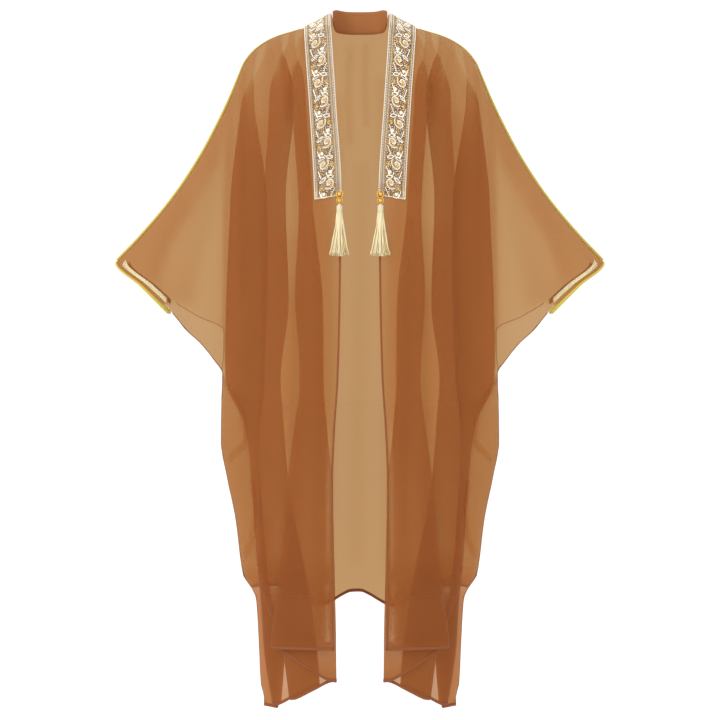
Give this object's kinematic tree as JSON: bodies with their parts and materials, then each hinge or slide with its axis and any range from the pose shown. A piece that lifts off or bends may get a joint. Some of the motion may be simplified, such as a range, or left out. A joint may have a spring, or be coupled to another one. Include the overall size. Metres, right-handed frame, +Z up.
{
  "type": "open-front robe (bisht)",
  "caption": "Sheer open-front robe with wide batwing sleeves, beaded front bands and hanging tassels, hollow as worn",
  "frame": {"origin": "between the two neck points of the shoulder seams, at their height, where the wearer's shoulders hold the robe", "axes": "+Z up, the front faces -Y, +X towards the wearer's left"},
  "size_m": [0.969, 0.2577, 1.3851],
  "materials": {
    "front_cloth": "sheer plain-woven brown cloth, soft sheen, layers showing through each other",
    "back_cloth": "sheer plain-woven tan cloth of the back, soft sheen",
    "collar_cloth": "doubled plain cloth, matte",
    "bead_band": "dense silver and gold bead and cord embroidery on a brown ground",
    "lime_piping": "corded satin piping, lime gold",
    "cuff_braid": "narrow metallic braid, pale silver and lime",
    "gold_bead": "polished gold-toned bead",
    "tassel_thread": "cream and gold twisted thread"
  },
  "bodies": {
    "root": {"back_panel": "back_cloth", "neck_collar": "collar_cloth", "front_panel_left": "front_cloth", "beaded_band_left": "bead_band", "sleeve_piping_left": "lime_piping", "cuff_piping_left": "lime_piping", "cuff_braid_front_left": "cuff_braid", "cuff_braid_back_left": "cuff_braid", "tassel_bead_upper_left": "gold_bead", "tassel_link_left": "gold_bead", "tassel_bead_lower_left": "gold_bead", "tassel_left": "tassel_thread", "front_panel_right": "front_cloth", "beaded_band_right": "bead_band", "sleeve_piping_right": "lime_piping", "cuff_piping_right": "lime_piping", "cuff_braid_front_right": "cuff_braid", "cuff_braid_back_right": "cuff_braid", "tassel_bead_upper_right": "gold_bead", "tassel_link_right": "gold_bead", "tassel_bead_lower_right": "gold_bead", "tassel_right": "tassel_thread"}
  },
  "joints": []
}
